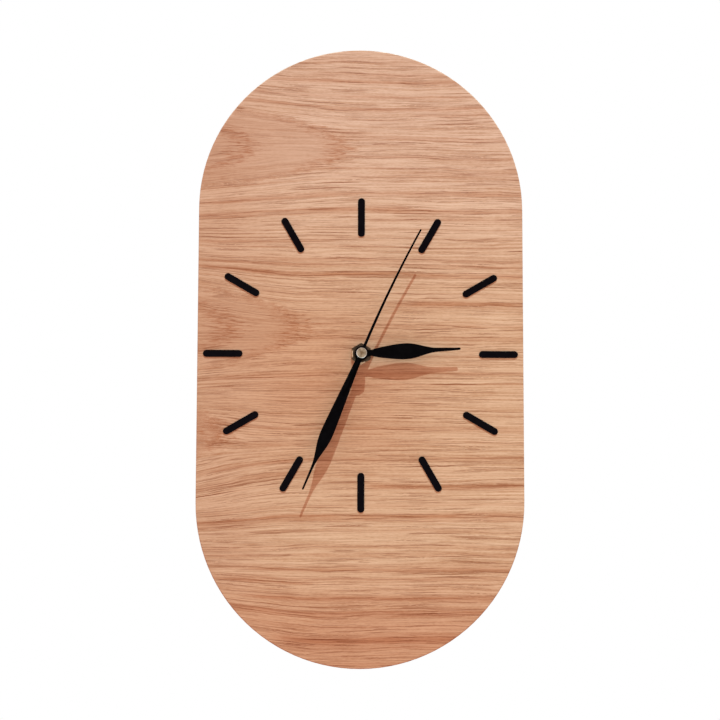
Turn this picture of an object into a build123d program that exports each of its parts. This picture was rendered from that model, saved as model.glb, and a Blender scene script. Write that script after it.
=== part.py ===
from build123d import *
import math
import os
from dataclasses import dataclass

# A round-ended oak wall clock with a quartz movement let into its back.
# Bench frame, in millimetres: x right and y up as seen from the front, z is
# the height above the wall plane, and the hands turn about the z axis.
# Each piece is stood up for export, so that y becomes +Z and the front -Y.

# Oak board
BOARD_WIDTH = 200.0
BOARD_HEIGHT = 380.0
BOARD_THICK = 22.0
BOARD_EASE = 0.8
SHAFT_HOLE_CLEAR = 0.3
POCKET_CLEAR = 2.0
POCKET_CORNER = 4.0

# Hour markers
MARKER_COUNT = 12
MARKER_FROM_EDGE = 3.55
MARKER_LENGTH = 24.0
MARKER_WIDTH = 4.25
MARKER_THICK = 0.5

# Hands: clock angles in degrees from twelve, the hour hand's height above the
# board's face and the step from each hand up to the next
HOUR_ANGLE = 87.05
MINUTE_ANGLE = 203.2
SECOND_ANGLE = 25.5
HAND_THICK = 0.5
HOUR_HAND_RISE = 5.75
HOUR_LENGTH = 60.5
HOUR_HUB = 4.1
HOUR_NECK_AT = 6.0
HOUR_NECK = 3.6
HOUR_FLARE = 1.0
HOUR_FLARE_RUN = 2.5
HOUR_BELLY_AT = 26.6
HOUR_BELLY = 9.75
HOUR_BELLY_ROUND = 0.30
HOUR_NEEDLE_RUN = 12.8
HOUR_NEEDLE = 2.4
HOUR_TIP = 1.4
MINUTE_STEP = 2.4
MINUTE_LENGTH = 89.2
MINUTE_HUB = 4.1
MINUTE_NECK_AT = 7.0
MINUTE_NECK = 3.6
MINUTE_FLARE = 0.7
MINUTE_FLARE_RUN = 15.5
MINUTE_BELLY_AT = 52.8
MINUTE_BELLY = 7.75
MINUTE_BELLY_ROUND = 0.16
MINUTE_NEEDLE_RUN = 13.3
MINUTE_NEEDLE = 1.5
MINUTE_TIP = 1.1
SHOULDER_EASE = 0.4
COLLET_WALL = 1.1
COLLET_LENGTH = 1.3
SECOND_STEP = 1.95
SECOND_THICK = 0.4
SECOND_LENGTH = 83.0
SECOND_ROOT = 1.75
SECOND_TIP = 1.1
SECOND_BOW = 1.1
SECOND_LEAN = 1.9
SECOND_TAIL = 25.0
SECOND_TAIL_WIDTH = 2.0
SECOND_DISC = 4.1
BOSS_RADIUS = 3.15
BOSS_THICK = 0.9
BOSS_CHAMFER = 0.45
BOSS_TUBE_WALL = 0.6
BOSS_TUBE_LENGTH = 0.9

# Fixing at the dial: bush, nut and washer
BUSH_RADIUS = 3.9
BUSH_PAST_NUT = 0.8
BUSH_FLANGE = 5.2
BUSH_FLANGE_THICK = 0.6
NUT_ACROSS_FLATS = 11.6
NUT_THICK = 2.4
NUT_CHAMFER = 0.6
NUT_BEVEL = 30.0
THREAD_CLEAR = 0.05
WASHER_RADIUS = 12.0
WASHER_THICK = 0.5

# Movement case
CASE_RECESS = 1.0
CASE_CORNER = 2.5
CASE_WALL = 1.4
COVER_THICK = 1.4
COVER_LIP = 1.0
LIP_CLEAR = 0.15
PLATE_THICK = 1.2
PLATE_CLEAR = 0.3
POST_RADIUS = 1.6
POST_INSET = 2.6
BOSS_WALL = 1.0
PIVOT_DEPTH = 0.6
PIVOT_END_PLAY = 0.15
RUN_CLEAR = 0.06
TRAIN_CLEAR = 1.47

# Coaxial tubes and shafts
SECOND_ARBOR = 0.7
TUBE_CLEAR = 0.1
MINUTE_PIPE_WALL = 0.85
HOUR_PIPE_WALL = 0.75
ARBOR = 0.5
SET_SHAFT = 1.2

# Gear train: tooth counts, modules, and the direction of each axis
WHEEL_THICK = 1.0
LAYER_GAP = 0.4
PINION_OVERHANG = 0.15
THIRD_LEAVES = 8
CENTRE_TEETH = 64
CENTRE_MODULE = 0.29
THIRD_DIRECTION = 150.0
SECOND_LEAVES = 8
THIRD_TEETH = 60
FIFTH_LEAVES = 8
SECOND_TEETH = 48
SECOND_MODULE = 0.32
FIFTH_DIRECTION = 40.0
ROTOR_LEAVES = 8
FIFTH_TEETH = 40
FIFTH_MODULE = 0.30
ROTOR_DIRECTION = 15.0
CANNON_LEAVES = 10
MOTION_TEETH = 30
MOTION_LEAVES = 8
HOUR_TEETH = 32
CANNON_RIM = 0.03
MOTION_DIRECTION = -10.0
SET_LEAVES = 10
SET_DIRECTION = -10.0

# Tooth shapes as (height in modules, share of the half thickness)
WHEEL_TOOTH_THICK = 1.40
WHEEL_TOOTH = [(-1.0, 1.0), (0.0, 1.0), (0.63, 0.72), (1.15, 0.22)]
LEAF_THICK = 1.05
LEAF_ROOT = -1.5
LEAF = [(LEAF_ROOT, 1.0), (0.0, 1.0), (0.37, 0.72), (0.60, 0.30)]

# Stepping motor
MAGNET_RADIUS = 2.8
MAGNET_THICK = 1.9
STATOR_GAP = 0.5
STATOR_RIM = 1.7
STATOR_THICK = 0.8
STATOR_ARM = 3.0
COIL_LENGTH = 20.0
COIL_RADIUS = 2.9
COIL_LEFT = -12.0
BOBBIN_WALL = 0.7
BOBBIN_FLANGE = 3.2
BOBBIN_FLANGE_THICK = 0.8
CORE_WIDTH = 2.2
CORE_THICK = 0.8
CORE_LAP = 3.0
COIL_WINDOW_CLEAR = 0.4
COIL_HEADROOM = 1.74

# Circuit board
PCB_THICK = 0.8
PCB_FROM_PIVOT = 1.4
PCB_HEIGHT = 24.0
PCB_FROM_SIDE = 1.4
PCB_STANDOFF = 1.6
PCB_POST = 1.0
PCB_POST_INSET = 2.0
CRYSTAL_RADIUS = 1.0
CRYSTAL_LENGTH = 6.0
CRYSTAL_INSET = 2.6
CHIP_RADIUS = 2.6
CHIP_HEIGHT = 1.1
CHIP_RISE = 9.0
CRYSTAL_RISE = 17.0

# Battery and its contacts
BATTERY_RADIUS = 7.1
BATTERY_LENGTH = 49.2
BATTERY_EDGE = 0.8
BATTERY_NUB_RADIUS = 2.7
BATTERY_NUB = 1.0
BATTERY_SUNK = 0.2
BAY_CLEAR = 0.2
BAY_WALL = 1.2
CONTACT_ROOM = 1.5
CONTACT_THICK = 0.3
CONTACT_GAP = 0.05
CONTACT_WIDTH = 9.0
CONTACT_STRIP = 3.0
CONTACT_SLOT_CLEAR = 0.2
DIMPLE_RADIUS = 2.4

# Setting knob
KNOB_RADIUS = 4.8
KNOB_THICK = 1.6
KNOB_SUNK = 0.1
KNOB_CLEAR = 0.4
KNOB_GRIPS = 20
KNOB_GRIP_RADIUS = 0.35
WELL_WALL = 1.0

# Keyhole hanger
HANGER_FROM_TOP = 58.0
HANGER_WIDTH = 16.0
HANGER_HEIGHT = 46.0
HANGER_THICK = 1.5
HANGER_SUNK = 0.3
HANGER_CLEAR = 0.2
HANGER_CORNER = 3.0
KEYHOLE_RADIUS = 4.5
KEYHOLE_SLOT = 4.4
KEYHOLE_RUN = 9.0
HEAD_ROOM = 9.0
HEAD_CLEAR = 1.0
SCREW_FROM_END = 5.0
SCREW_HEAD = 3.2
SCREW_SHANK = 1.5
SCREW_LENGTH = 13.0
SCREW_DRIVE = 0.7
SCREW_DRIVE_DEPTH = 0.8

# Places and heights that follow from the sizes above
HANGER_CENTRE = BOARD_HEIGHT / 2 - HANGER_FROM_TOP
AXIS = (0.0, 0.0)
MARKER_RING = BOARD_WIDTH / 2 - MARKER_FROM_EDGE - MARKER_LENGTH / 2
CASE_BACK = CASE_RECESS
CASE_DEPTH = CASE_WALL + BAY_CLEAR + 2 * BATTERY_RADIUS + BATTERY_SUNK
CASE_FRONT = CASE_BACK + CASE_DEPTH
POCKET_FLOOR = CASE_FRONT + WASHER_THICK
BUSH_FRONT = BOARD_THICK + NUT_THICK + BUSH_PAST_NUT
HOUR_HAND_BACK = BOARD_THICK + HOUR_HAND_RISE
HOUR_HAND_FRONT = HOUR_HAND_BACK + HAND_THICK
MINUTE_HAND_BACK = HOUR_HAND_BACK + MINUTE_STEP
MINUTE_HAND_FRONT = MINUTE_HAND_BACK + HAND_THICK
SECOND_HAND_BACK = MINUTE_HAND_BACK + SECOND_STEP
SECOND_HAND_FRONT = SECOND_HAND_BACK + SECOND_THICK
CASE_FLOOR = CASE_FRONT - CASE_WALL
COVER_INSIDE = CASE_BACK + COVER_THICK
ARBOR_BACK = COVER_INSIDE + PIVOT_END_PLAY

# Wheel layers, from the dial towards the wall
HOUR_TOP = CASE_FLOOR - LAYER_GAP
HOUR_BOTTOM = HOUR_TOP - WHEEL_THICK
MOTION_TOP = HOUR_BOTTOM - LAYER_GAP
MOTION_BOTTOM = MOTION_TOP - WHEEL_THICK
CENTRE_TOP = MOTION_BOTTOM - LAYER_GAP
CENTRE_BOTTOM = CENTRE_TOP - WHEEL_THICK
PLATE_TOP = CENTRE_BOTTOM - LAYER_GAP
PLATE_BOTTOM = PLATE_TOP - PLATE_THICK
THIRD_TOP = PLATE_BOTTOM - LAYER_GAP
THIRD_BOTTOM = THIRD_TOP - WHEEL_THICK
SECOND_TOP = THIRD_BOTTOM - LAYER_GAP
SECOND_BOTTOM = SECOND_TOP - WHEEL_THICK
FIFTH_TOP = SECOND_BOTTOM - LAYER_GAP
FIFTH_BOTTOM = FIFTH_TOP - WHEEL_THICK

# Radii of the nested tubes, each running on the next with a clearance, and of the pivots
MINUTE_BORE = SECOND_ARBOR + TUBE_CLEAR
MINUTE_PIPE = MINUTE_BORE + MINUTE_PIPE_WALL
HOUR_BORE = MINUTE_PIPE + TUBE_CLEAR
HOUR_PIPE = HOUR_BORE + HOUR_PIPE_WALL
BUSH_BORE = HOUR_PIPE + TUBE_CLEAR
PIVOT_HOLE = ARBOR + RUN_CLEAR
PIVOT_BOSS = PIVOT_HOLE + BOSS_WALL
BOSS_TOP = FIFTH_BOTTOM - PINION_OVERHANG - LAYER_GAP


@dataclass
class Gear:
    """A wheel or pinion: its teeth, its module, its axis and where a tooth points."""
    teeth: int
    module: float
    centre: tuple
    phase: float = 0.0
    pinion: bool = False

    @property
    def pitch(self):
        return self.teeth * self.module / 2

    @property
    def tip(self):
        profile = LEAF if self.pinion else WHEEL_TOOTH
        return self.pitch + profile[-1][0] * self.module


def polar(centre, distance, degrees):
    angle = math.radians(degrees)
    return (centre[0] + distance * math.cos(angle), centre[1] + distance * math.sin(angle))


def in_mesh(partner, teeth, centre, pinion=False):
    """The gear on another axis whose teeth stand in the partner's gaps."""
    dx = centre[0] - partner.centre[0]
    dy = centre[1] - partner.centre[1]
    direction = math.atan2(dy, dx)
    module = 2 * math.hypot(dx, dy) / (teeth + partner.teeth)
    passed = partner.teeth * (direction - partner.phase) / (2 * math.pi)
    phase = direction + math.pi - (2 * math.pi / teeth) * (0.5 - passed)
    return Gear(teeth, module, centre, phase, pinion)


# Axes of the train: the cannon pinion is just thicker than the minute pipe
MOTION_MODULE = (MINUTE_PIPE + CANNON_RIM) / (CANNON_LEAVES / 2 + LEAF_ROOT)
THIRD_AXIS = polar(AXIS, CENTRE_MODULE * (CENTRE_TEETH + THIRD_LEAVES) / 2, THIRD_DIRECTION)
FIFTH_AXIS = polar(AXIS, SECOND_MODULE * (SECOND_TEETH + FIFTH_LEAVES) / 2, FIFTH_DIRECTION)
ROTOR_AXIS = polar(FIFTH_AXIS, FIFTH_MODULE * (FIFTH_TEETH + ROTOR_LEAVES) / 2, ROTOR_DIRECTION)
MOTION_AXIS = polar(AXIS, MOTION_MODULE * (CANNON_LEAVES + MOTION_TEETH) / 2, MOTION_DIRECTION)
SET_AXIS = polar(MOTION_AXIS, MOTION_MODULE * (MOTION_TEETH + SET_LEAVES) / 2, SET_DIRECTION)

# Gears, each placed in mesh with the one before it
THIRD_PINION = Gear(THIRD_LEAVES, CENTRE_MODULE, THIRD_AXIS, pinion=True)
CENTRE_WHEEL = in_mesh(THIRD_PINION, CENTRE_TEETH, AXIS)
THIRD_MODULE = 2 * math.hypot(*THIRD_AXIS) / (THIRD_TEETH + SECOND_LEAVES)
SECOND_PINION = Gear(SECOND_LEAVES, THIRD_MODULE, AXIS, pinion=True)
THIRD_WHEEL = in_mesh(SECOND_PINION, THIRD_TEETH, THIRD_AXIS)
SECOND_WHEEL = Gear(SECOND_TEETH, SECOND_MODULE, AXIS)
FIFTH_PINION = in_mesh(SECOND_WHEEL, FIFTH_LEAVES, FIFTH_AXIS, pinion=True)
FIFTH_WHEEL = Gear(FIFTH_TEETH, FIFTH_MODULE, FIFTH_AXIS)
ROTOR_PINION = in_mesh(FIFTH_WHEEL, ROTOR_LEAVES, ROTOR_AXIS, pinion=True)
CANNON = Gear(CANNON_LEAVES, MOTION_MODULE, AXIS, pinion=True)
MOTION_WHEEL = in_mesh(CANNON, MOTION_TEETH, MOTION_AXIS)
MOTION_PINION = Gear(MOTION_LEAVES, MOTION_MODULE, MOTION_AXIS, pinion=True)
HOUR_WHEEL = in_mesh(MOTION_PINION, HOUR_TEETH, AXIS)
SET_PINION = in_mesh(MOTION_WHEEL, SET_LEAVES, SET_AXIS, pinion=True)

# Rooms inside the case, as seen from the front: the cell and the setting knob
# set its width, the train and the cell below it set where it ends
WELL_RADIUS = KNOB_RADIUS + KNOB_CLEAR + WELL_WALL
CELL_LENGTH = BATTERY_LENGTH + BATTERY_NUB
CELL_REACH = CELL_LENGTH / 2 + CONTACT_ROOM
WELL_REACH = SET_AXIS[0] + WELL_RADIUS + COVER_LIP + LIP_CLEAR
ROOM_HALF = max(CELL_REACH, WELL_REACH)
CASE_HALF = ROOM_HALF + CASE_WALL
TRAIN_LOW = min(MOTION_AXIS[1] - MOTION_WHEEL.tip, SET_AXIS[1] - WELL_RADIUS)
ROOM_BOTTOM = TRAIN_LOW - TRAIN_CLEAR
BAY_TOP = ROOM_BOTTOM - BAY_WALL
BAY_BOTTOM = BAY_TOP - 2 * (BATTERY_RADIUS + BAY_CLEAR)
CASE_LOW = BAY_BOTTOM - BAY_WALL
YOKE_LOW = THIRD_AXIS[1] + THIRD_WHEEL.tip + TRAIN_CLEAR
STATOR_POST_Y = YOKE_LOW + POST_RADIUS
COIL_Y = STATOR_POST_Y + POST_RADIUS + COIL_WINDOW_CLEAR + CORE_WIDTH / 2
ROOM_TOP = COIL_Y + BOBBIN_FLANGE + COIL_WINDOW_CLEAR + PLATE_CLEAR + COIL_HEADROOM
CASE_HIGH = ROOM_TOP + CASE_WALL
BATTERY_Y = (BAY_BOTTOM + BAY_TOP) / 2
BATTERY_Z = CASE_FLOOR - BAY_CLEAR - BATTERY_RADIUS
BATTERY_LEFT = -CELL_LENGTH / 2

# The circuit board lies between the case's side and the third wheel's pivot
PCB_LEFT = -ROOM_HALF + PCB_FROM_SIDE
PCB_RIGHT = THIRD_AXIS[0] - PIVOT_BOSS - PCB_FROM_PIVOT
PCB_LOW = ROOM_BOTTOM + CONTACT_GAP
PCB_BACK = COVER_INSIDE + PCB_STANDOFF
PCB_FRONT = PCB_BACK + PCB_THICK


# Helpers

def disc(radius, bottom, top, centre=AXIS):
    low = (Align.CENTER, Align.CENTER, Align.MIN)
    return Pos(centre[0], centre[1], bottom) * Cylinder(radius, top - bottom, align=low)


def ring(outer, inner, bottom, top, centre=AXIS):
    return disc(outer, bottom, top, centre) - disc(inner, bottom, top, centre)


def block(left, right, low, high, bottom, top):
    corner = (Align.MIN, Align.MIN, Align.MIN)
    return Pos(left, low, bottom) * Box(right - left, high - low, top - bottom, align=corner)


def slab(sketch, bottom, top):
    return extrude(Pos(0, 0, bottom) * sketch, amount=top - bottom)


def rounded_block(left, right, low, high, corner, bottom, top):
    middle = Pos((left + right) / 2, (low + high) / 2)
    return slab(middle * RectangleRounded(right - left, high - low, corner), bottom, top)


def toothed(gear, bottom, top):
    """The gear's solid between two heights."""
    profile = LEAF if gear.pinion else WHEEL_TOOTH
    thick = LEAF_THICK if gear.pinion else WHEEL_TOOTH_THICK
    half = thick * gear.module / 2 / gear.pitch
    flank = [(gear.pitch + height * gear.module, share * half) for height, share in profile]
    tooth = [(radius, -angle) for radius, angle in flank]
    tooth += [(radius, angle) for radius, angle in reversed(flank)]
    points = []
    for index in range(gear.teeth):
        middle = gear.phase + 2 * math.pi * index / gear.teeth
        for radius, angle in tooth:
            x = gear.centre[0] + radius * math.cos(middle + angle)
            y = gear.centre[1] + radius * math.sin(middle + angle)
            points.append((x, y))
    return slab(make_face(Polyline(*points, close=True)), bottom, top)


def pinion_on(gear, wheel_bottom, wheel_top):
    """A pinion a little longer than the wheel that it meets."""
    return toothed(gear, wheel_bottom - PINION_OVERHANG, wheel_top + PINION_OVERHANG)


# Board, markers and hanger

def stadium(width, height):
    return SlotOverall(height, width, rotation=90)


def hanger_place():
    """The keyhole's entry and the top of its slot."""
    entry = (0.0, HANGER_CENTRE - KEYHOLE_RUN / 2)
    return entry, (0.0, entry[1] + KEYHOLE_RUN)


def screw_places():
    reach = HANGER_HEIGHT / 2 - SCREW_FROM_END
    return [(0.0, HANGER_CENTRE - reach), (0.0, HANGER_CENTRE + reach)]


def oak_board():
    board = slab(stadium(BOARD_WIDTH, BOARD_HEIGHT), 0, BOARD_THICK)
    rims = board.faces().sort_by(Axis.Z)[-1].edges() + board.faces().sort_by(Axis.Z)[0].edges()
    board = fillet(rims, BOARD_EASE)
    half = CASE_HALF + POCKET_CLEAR
    low = CASE_LOW - POCKET_CLEAR
    high = CASE_HIGH + POCKET_CLEAR
    board -= rounded_block(-half, half, low, high, POCKET_CORNER, 0, POCKET_FLOOR)
    board -= disc(BUSH_RADIUS + SHAFT_HOLE_CLEAR, POCKET_FLOOR, BOARD_THICK)
    width = HANGER_WIDTH / 2 + HANGER_CLEAR
    low = HANGER_CENTRE - HANGER_HEIGHT / 2 - HANGER_CLEAR
    high = HANGER_CENTRE + HANGER_HEIGHT / 2 + HANGER_CLEAR
    seat = HANGER_SUNK + HANGER_THICK
    board -= rounded_block(-width, width, low, high, HANGER_CORNER + HANGER_CLEAR, 0, seat)
    head = KEYHOLE_RADIUS + HEAD_CLEAR
    entry, slot_end = hanger_place()
    low = entry[1] - head
    high = slot_end[1] + head
    room = Pos(0, (low + high) / 2) * SlotOverall(high - low, 2 * head, rotation=90)
    board -= slab(room, seat, seat + HEAD_ROOM)
    for place in screw_places():
        board -= disc(SCREW_SHANK, seat, HANGER_SUNK + SCREW_LENGTH, place)
    return board


def hour_marker(index):
    bar = SlotOverall(MARKER_LENGTH, MARKER_WIDTH, rotation=90)
    turn = Rot(0, 0, -360 / MARKER_COUNT * index)
    return slab(turn * Pos(0, MARKER_RING) * bar, BOARD_THICK, BOARD_THICK + MARKER_THICK)


def keyhole_hanger():
    width = HANGER_WIDTH / 2
    low = HANGER_CENTRE - HANGER_HEIGHT / 2
    high = HANGER_CENTRE + HANGER_HEIGHT / 2
    front = HANGER_SUNK + HANGER_THICK
    plate = rounded_block(-width, width, low, high, HANGER_CORNER, HANGER_SUNK, front)
    entry, slot_end = hanger_place()
    plate -= disc(KEYHOLE_RADIUS, HANGER_SUNK, front, entry)
    slot = KEYHOLE_SLOT / 2
    plate -= block(-slot, slot, entry[1], slot_end[1], HANGER_SUNK, front)
    plate -= disc(slot, HANGER_SUNK, front, slot_end)
    for place in screw_places():
        plate -= countersunk_head(place)
        plate -= disc(SCREW_SHANK, HANGER_SUNK, front, place)
    return plate


def countersunk_head(place):
    depth = SCREW_HEAD - SCREW_SHANK
    lift = (Align.CENTER, Align.CENTER, Align.MIN)
    cone = Cone(SCREW_HEAD, SCREW_SHANK, min(depth, HANGER_THICK), align=lift)
    return Pos(place[0], place[1], HANGER_SUNK) * cone


def hanger_screws():
    screws = []
    for place in screw_places():
        shank = disc(SCREW_SHANK, HANGER_SUNK, HANGER_SUNK + SCREW_LENGTH, place)
        screw = countersunk_head(place) + shank
        for turn in (0, 90):
            bar = Rectangle(2 * (SCREW_HEAD - SCREW_DRIVE), SCREW_DRIVE, rotation=turn)
            screw -= slab(Pos(*place) * bar, HANGER_SUNK, HANGER_SUNK + SCREW_DRIVE_DEPTH)
        screws.append(screw)
    return Compound(children=screws)


# Hands

def leaf_blade(length, neck_at, neck, flare, belly_at, belly, belly_round, needle_run, needle, tip):
    """A leaf-shaped hand pointing up: a neck that flares, a belly, and a needle drawn to the tip."""
    rise = belly_at - neck_at
    needle_at = length - needle_run
    fall = needle_at - belly_at

    def side(sign):
        root = (sign * neck / 2, 0)
        start = (sign * neck / 2, neck_at)
        flared = (sign * (neck / 2 + flare[0]), neck_at + flare[1])
        before = (sign * belly / 2, belly_at - belly_round * rise)
        widest = (sign * belly / 2, belly_at)
        after = (sign * belly / 2, belly_at + SHOULDER_EASE * fall)
        into = (sign * needle / 2, needle_at - SHOULDER_EASE * fall)
        thin = (sign * needle / 2, needle_at)
        end = (sign * tip / 2, length - tip / 2)
        edges = [Line(root, start), Bezier(start, flared, before, widest)]
        edges += [Bezier(widest, after, into, thin), Line(thin, end)]
        return edges

    point = ThreePointArc((tip / 2, length - tip / 2), (0, length), (-tip / 2, length - tip / 2))
    base = Line((-neck / 2, 0), (neck / 2, 0))
    return make_face(Curve() + side(1) + side(-1) + [point, base])


def pressed_hand(blade, hub, pipe, angle, back, front):
    """A blade with a round hub and a collet behind it, pressed on its pipe."""
    shape = Rot(0, 0, -angle) * blade
    hand = slab(shape, back, front) + disc(hub, back, front)
    hand += disc(pipe + COLLET_WALL, back - COLLET_LENGTH, back)
    return hand - disc(pipe, back - COLLET_LENGTH, front)


def hour_hand():
    flare = (HOUR_FLARE, HOUR_FLARE_RUN)
    blade = leaf_blade(HOUR_LENGTH, HOUR_NECK_AT, HOUR_NECK, flare, HOUR_BELLY_AT, HOUR_BELLY,
                       HOUR_BELLY_ROUND, HOUR_NEEDLE_RUN, HOUR_NEEDLE, HOUR_TIP)
    return pressed_hand(blade, HOUR_HUB, HOUR_PIPE, HOUR_ANGLE, HOUR_HAND_BACK, HOUR_HAND_FRONT)


def minute_hand():
    flare = (MINUTE_FLARE, MINUTE_FLARE_RUN)
    blade = leaf_blade(MINUTE_LENGTH, MINUTE_NECK_AT, MINUTE_NECK, flare, MINUTE_BELLY_AT,
                       MINUTE_BELLY, MINUTE_BELLY_ROUND, MINUTE_NEEDLE_RUN, MINUTE_NEEDLE, MINUTE_TIP)
    return pressed_hand(blade, MINUTE_HUB, MINUTE_PIPE, MINUTE_ANGLE,
                        MINUTE_HAND_BACK, MINUTE_HAND_FRONT)


def second_hand():
    """A thin needle with a slight bow in it, a short counterweight tail and a hub disc.
    The needle leans forward from the disc's edge."""
    root = SECOND_ROOT / 2
    tip = SECOND_TIP / 2
    tail = SECOND_TAIL_WIDTH / 2
    middle = (root + tip) / 2
    half_way = SECOND_LENGTH / 2
    left = ThreePointArc((-root, 0), (-middle - SECOND_BOW, half_way), (-tip, SECOND_LENGTH))
    right = ThreePointArc((tip, SECOND_LENGTH), (middle - SECOND_BOW, half_way), (root, 0))
    point = Line((-tip, SECOND_LENGTH), (tip, SECOND_LENGTH))
    weight = Polyline((root, 0), (tail, -SECOND_TAIL), (-tail, -SECOND_TAIL), (-root, 0))
    needle = make_face(Curve() + [left, point, right, weight])
    beyond = Pos(0, SECOND_DISC + SECOND_LENGTH) * Rectangle(2 * SECOND_DISC, 2 * SECOND_LENGTH)
    leaning = slab(Pos(0, -SECOND_DISC) * (needle & beyond), 0, SECOND_THICK)
    hand = Pos(0, SECOND_DISC, SECOND_HAND_BACK) * Rot(SECOND_LEAN, 0, 0) * leaning
    hand += slab(needle - beyond, SECOND_HAND_BACK, SECOND_HAND_FRONT)
    hand = Rot(0, 0, -SECOND_ANGLE) * hand
    hand += disc(SECOND_DISC, SECOND_HAND_BACK, SECOND_HAND_FRONT)
    return hand - disc(SECOND_ARBOR + BOSS_TUBE_WALL, SECOND_HAND_BACK, SECOND_HAND_FRONT)


def second_hand_boss():
    top = SECOND_HAND_FRONT + BOSS_THICK
    head = disc(BOSS_RADIUS, SECOND_HAND_FRONT, top)
    head = chamfer(head.faces().sort_by(Axis.Z)[-1].edges(), BOSS_CHAMFER)
    tube_back = SECOND_HAND_BACK - BOSS_TUBE_LENGTH
    tube = disc(SECOND_ARBOR + BOSS_TUBE_WALL, tube_back, SECOND_HAND_FRONT)
    return head + tube - disc(SECOND_ARBOR, tube_back, SECOND_HAND_FRONT)


# Fixing at the dial

def threaded_bush():
    bush = disc(BUSH_RADIUS, CASE_FLOOR, BUSH_FRONT)
    bush += disc(BUSH_FLANGE, CASE_FLOOR, CASE_FLOOR + BUSH_FLANGE_THICK)
    return bush - disc(BUSH_BORE, CASE_FLOOR, BUSH_FRONT)


def hex_nut():
    top = BOARD_THICK + NUT_THICK
    corner = NUT_ACROSS_FLATS / math.sqrt(3)
    nut = slab(RegularPolygon(corner, 6, rotation=30), BOARD_THICK, top)
    low = (Align.CENTER, Align.CENTER, Align.MIN)
    face = NUT_ACROSS_FLATS / 2 - NUT_CHAMFER
    cone = Cone(face + NUT_THICK / math.tan(math.radians(NUT_BEVEL)), face, NUT_THICK, align=low)
    nut &= Pos(0, 0, BOARD_THICK) * cone
    return nut - disc(BUSH_RADIUS + THREAD_CLEAR, BOARD_THICK, top)


def rubber_washer():
    return ring(WASHER_RADIUS, BUSH_RADIUS + SHAFT_HOLE_CLEAR, CASE_FRONT, POCKET_FLOOR)


# Movement case

def post_places():
    x = ROOM_HALF - POST_INSET
    return [(sx * x, y) for sx in (-1, 1) for y in (ROOM_BOTTOM + POST_INSET, ROOM_TOP - POST_INSET)]


def movement_case():
    half = CASE_HALF
    shell = rounded_block(-half, half, CASE_LOW, CASE_HIGH, CASE_CORNER, CASE_BACK, CASE_FRONT)
    cover = block(-half, half, BAY_TOP, CASE_HIGH, CASE_BACK, COVER_INSIDE)
    room = block(-ROOM_HALF, ROOM_HALF, ROOM_BOTTOM, ROOM_TOP, COVER_INSIDE, CASE_FLOOR)
    bay = block(-ROOM_HALF, ROOM_HALF, BAY_BOTTOM, BAY_TOP, CASE_BACK, CASE_FLOOR)
    case = shell - cover - room - bay
    for place in post_places():
        case += disc(POST_RADIUS, PLATE_TOP, CASE_FLOOR, place)
    case += disc(ARBOR + RUN_CLEAR, CENTRE_TOP + LAYER_GAP, CASE_FLOOR, MOTION_AXIS)
    case -= disc(BUSH_RADIUS, CASE_FLOOR, CASE_FRONT)
    case -= disc(BUSH_FLANGE, CASE_FLOOR, CASE_FLOOR + BUSH_FLANGE_THICK)
    pivot_end = CASE_FLOOR + PIVOT_DEPTH + PIVOT_END_PLAY
    case -= disc(PIVOT_HOLE, CASE_FLOOR, pivot_end, THIRD_AXIS)
    case -= disc(PIVOT_HOLE, CASE_FLOOR, pivot_end, SET_AXIS)
    for left, right in contact_slots():
        low = PCB_FRONT - CONTACT_SLOT_CLEAR
        high = PCB_FRONT + CONTACT_STRIP + CONTACT_SLOT_CLEAR
        case -= block(left, right, BAY_TOP, ROOM_BOTTOM, low, high)
    return case


def knob_floor():
    """Heights of the outer and inner faces of the knob well's floor."""
    outer = CASE_BACK + KNOB_SUNK + KNOB_THICK + KNOB_CLEAR / 2
    return outer, outer + WELL_WALL


def back_pivots():
    """Each arbor that ends in a pillar on the cover, with its radius."""
    return [(AXIS, SECOND_ARBOR), (THIRD_AXIS, ARBOR), (FIFTH_AXIS, ARBOR), (ROTOR_AXIS, ARBOR)]


def movement_cover():
    half = CASE_HALF
    whole = rounded_block(-half, half, CASE_LOW, CASE_HIGH, CASE_CORNER, CASE_BACK, COVER_INSIDE)
    cover = whole & block(-half, half, BAY_TOP, CASE_HIGH, CASE_BACK, COVER_INSIDE)
    side = ROOM_HALF - LIP_CLEAR
    low = ROOM_BOTTOM + LIP_CLEAR
    high = ROOM_TOP - LIP_CLEAR
    lip = block(-side, side, low, high, COVER_INSIDE, COVER_INSIDE + COVER_LIP)
    lip -= block(-side + COVER_LIP, side - COVER_LIP, low + COVER_LIP, high - COVER_LIP,
                 COVER_INSIDE, COVER_INSIDE + COVER_LIP)
    cover += lip
    outer, inner = knob_floor()
    cover += disc(WELL_RADIUS, CASE_BACK, inner, SET_AXIS)
    cover -= disc(WELL_RADIUS - WELL_WALL, CASE_BACK, outer, SET_AXIS)
    cover -= disc(SET_SHAFT + RUN_CLEAR, outer, inner, SET_AXIS)
    for place in pcb_posts():
        cover += disc(PCB_POST, COVER_INSIDE, PCB_BACK, place)
    for axis, shaft in back_pivots():
        hole = shaft + RUN_CLEAR
        cover += ring(hole + BOSS_WALL, hole, COVER_INSIDE, BOSS_TOP, axis)
    return cover


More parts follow.
